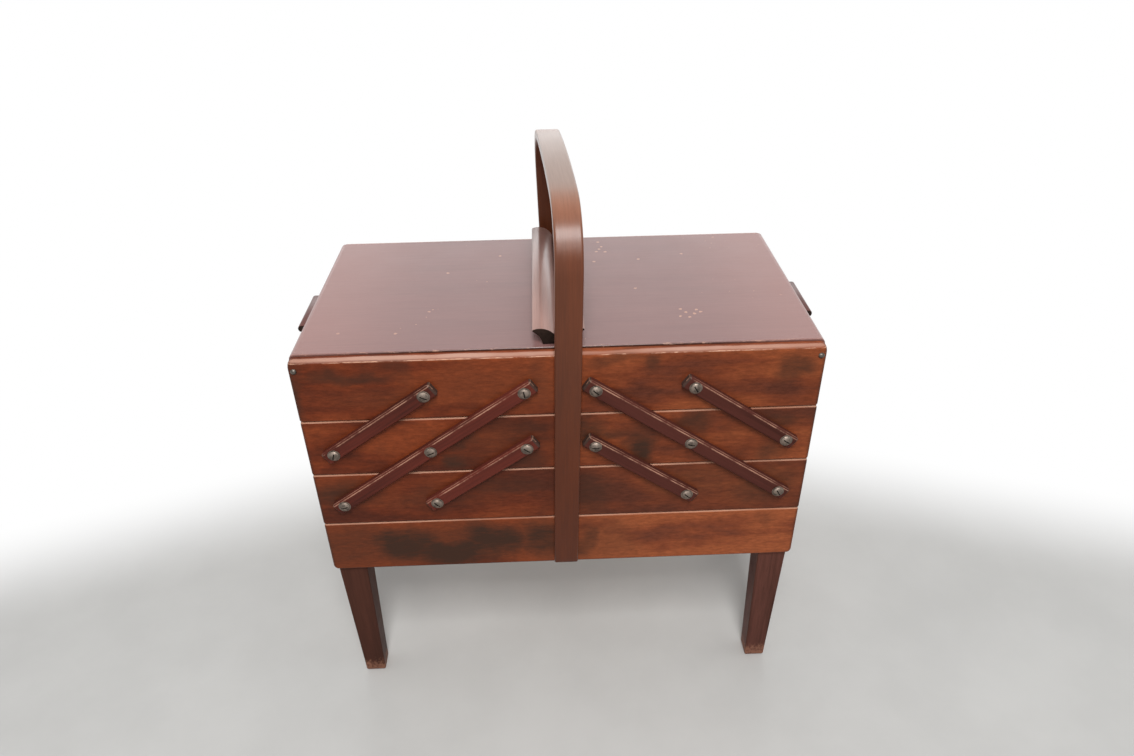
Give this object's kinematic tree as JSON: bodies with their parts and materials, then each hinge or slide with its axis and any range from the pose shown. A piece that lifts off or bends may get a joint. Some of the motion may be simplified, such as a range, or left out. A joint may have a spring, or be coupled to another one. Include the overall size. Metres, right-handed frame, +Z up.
{
  "type": "accordion sewing stand",
  "caption": "Wooden accordion sewing stand on tapered legs: stacked split trays swing out level on linked arms, with pin-hinged lids and a bentwood hoop handle.",
  "frame": {"origin": "floor level, midway between the four feet", "axes": "+X to the right along the front, +Y from the front to the back, +Z up"},
  "size_m": [0.4798, 0.2622, 0.5308],
  "materials": {
    "board_wood": "worn satin varnish over orange-brown wood",
    "lid_wood": "semi-gloss red-brown varnish, lightly chipped",
    "arm_wood": "dark red-brown satin varnish, worn on the chamfers",
    "handle_wood": "brown satin varnish with fine lengthwise streaks",
    "leg_wood": "dark brown satin varnish, worn at the feet",
    "pull_wood": "red-brown semi-gloss varnish, worn on the lips",
    "floor_wood": "plain unvarnished plywood and softwood",
    "pin_steel": "dull tarnished steel"
  },
  "bodies": {
    "base": {"base_lower_front": "board_wood", "base_lower_back": "board_wood", "base_lower_left_end": "board_wood", "base_lower_right_end": "board_wood", "base_upper_front": "board_wood", "base_upper_back": "board_wood", "base_upper_left_end": "board_wood", "base_upper_right_end": "board_wood", "base_floor": "floor_wood", "leg_rail_left": "floor_wood", "leg_rail_right": "floor_wood", "leg_front_left": "leg_wood", "leg_front_right": "leg_wood", "leg_back_left": "leg_wood", "leg_back_right": "leg_wood", "handle_hoop": "handle_wood"},
    "left_long_arms": {"arm_long_left_front": "arm_wood", "arm_long_left_back": "arm_wood"},
    "left_lower_arms": {"arm_lower_left_front": "arm_wood", "arm_lower_left_back": "arm_wood"},
    "left_upper_arms": {"arm_upper_left_front": "arm_wood", "arm_upper_left_back": "arm_wood"},
    "left_middle_tray": {"middle_left_front": "board_wood", "middle_left_back": "board_wood", "middle_left_outer_end": "board_wood", "middle_left_inner_end": "board_wood", "middle_left_floor": "floor_wood"},
    "left_top_tray": {"top_left_front": "board_wood", "top_left_back": "board_wood", "top_left_outer_end": "board_wood", "top_left_inner_end": "board_wood", "top_left_floor": "floor_wood", "lid_pin_left_front": "pin_steel", "lid_pin_left_back": "pin_steel", "end_pull_left": "pull_wood"},
    "left_lid": {"lid_left": "lid_wood", "lid_rail_left": "lid_wood", "lid_pull_left": "pull_wood"},
    "right_long_arms": {"arm_long_right_front": "arm_wood", "arm_long_right_back": "arm_wood"},
    "right_lower_arms": {"arm_lower_right_front": "arm_wood", "arm_lower_right_back": "arm_wood"},
    "right_upper_arms": {"arm_upper_right_front": "arm_wood", "arm_upper_right_back": "arm_wood"},
    "right_middle_tray": {"middle_right_front": "board_wood", "middle_right_back": "board_wood", "middle_right_outer_end": "board_wood", "middle_right_inner_end": "board_wood", "middle_right_floor": "floor_wood"},
    "right_top_tray": {"top_right_front": "board_wood", "top_right_back": "board_wood", "top_right_outer_end": "board_wood", "top_right_inner_end": "board_wood", "top_right_floor": "floor_wood", "lid_pin_right_front": "pin_steel", "lid_pin_right_back": "pin_steel", "end_pull_right": "pull_wood"},
    "right_lid": {"lid_right": "lid_wood", "lid_rail_right": "lid_wood", "lid_pull_right": "pull_wood"}
  },
  "joints": [
    {"name": "left_arm_swing", "type": "hinge", "parent": "base", "child": "left_long_arms", "pos_m": [-0.1997, 0, 0.248], "axis": [0, -1, 0], "range_deg": [0, 110]},
    {"name": "left_middle_level", "type": "hinge", "parent": "left_long_arms", "child": "left_middle_tray", "pos_m": [-0.115, 0, 0.307], "axis": [0, -1, 0], "range_deg": [-110, 0]},
    {"name": "left_top_level", "type": "hinge", "parent": "left_long_arms", "child": "left_top_tray", "pos_m": [-0.0303, 0, 0.366], "axis": [0, -1, 0], "range_deg": [-110, 0]},
    {"name": "left_lower_arm_swing", "type": "hinge", "parent": "base", "child": "left_lower_arms", "pos_m": [-0.115, 0, 0.248], "axis": [0, -1, 0], "range_deg": [0, 110]},
    {"name": "left_upper_arm_swing", "type": "hinge", "parent": "left_middle_tray", "child": "left_upper_arms", "pos_m": [-0.1997, 0, 0.307], "axis": [0, -1, 0], "range_deg": [0, 110]},
    {"name": "left_lid_hinge", "type": "hinge", "parent": "left_top_tray", "child": "left_lid", "pos_m": [-0.2202, 0, 0.3907], "axis": [0, -1, 0], "range_deg": [0, 95]},
    {"name": "right_arm_swing", "type": "hinge", "parent": "base", "child": "right_long_arms", "pos_m": [0.1997, 0, 0.248], "axis": [0, 1, 0], "range_deg": [0, 110]},
    {"name": "right_middle_level", "type": "hinge", "parent": "right_long_arms", "child": "right_middle_tray", "pos_m": [0.115, 0, 0.307], "axis": [0, 1, 0], "range_deg": [-110, 0]},
    {"name": "right_top_level", "type": "hinge", "parent": "right_long_arms", "child": "right_top_tray", "pos_m": [0.0303, 0, 0.366], "axis": [0, 1, 0], "range_deg": [-110, 0]},
    {"name": "right_lower_arm_swing", "type": "hinge", "parent": "base", "child": "right_lower_arms", "pos_m": [0.115, 0, 0.248], "axis": [0, 1, 0], "range_deg": [0, 110]},
    {"name": "right_upper_arm_swing", "type": "hinge", "parent": "right_middle_tray", "child": "right_upper_arms", "pos_m": [0.1997, 0, 0.307], "axis": [0, 1, 0], "range_deg": [0, 110]},
    {"name": "right_lid_hinge", "type": "hinge", "parent": "right_top_tray", "child": "right_lid", "pos_m": [0.2202, 0, 0.3907], "axis": [0, 1, 0], "range_deg": [0, 95]}
  ],
  "couplings": [
    {"joint": "left_middle_level", "follows": "left_arm_swing", "ratio": -1},
    {"joint": "left_top_level", "follows": "left_arm_swing", "ratio": -1},
    {"joint": "left_lower_arm_swing", "follows": "left_arm_swing", "ratio": 1},
    {"joint": "left_upper_arm_swing", "follows": "left_arm_swing", "ratio": 1},
    {"joint": "right_middle_level", "follows": "right_arm_swing", "ratio": -1},
    {"joint": "right_top_level", "follows": "right_arm_swing", "ratio": -1},
    {"joint": "right_lower_arm_swing", "follows": "right_arm_swing", "ratio": 1},
    {"joint": "right_upper_arm_swing", "follows": "right_arm_swing", "ratio": 1}
  ]
}
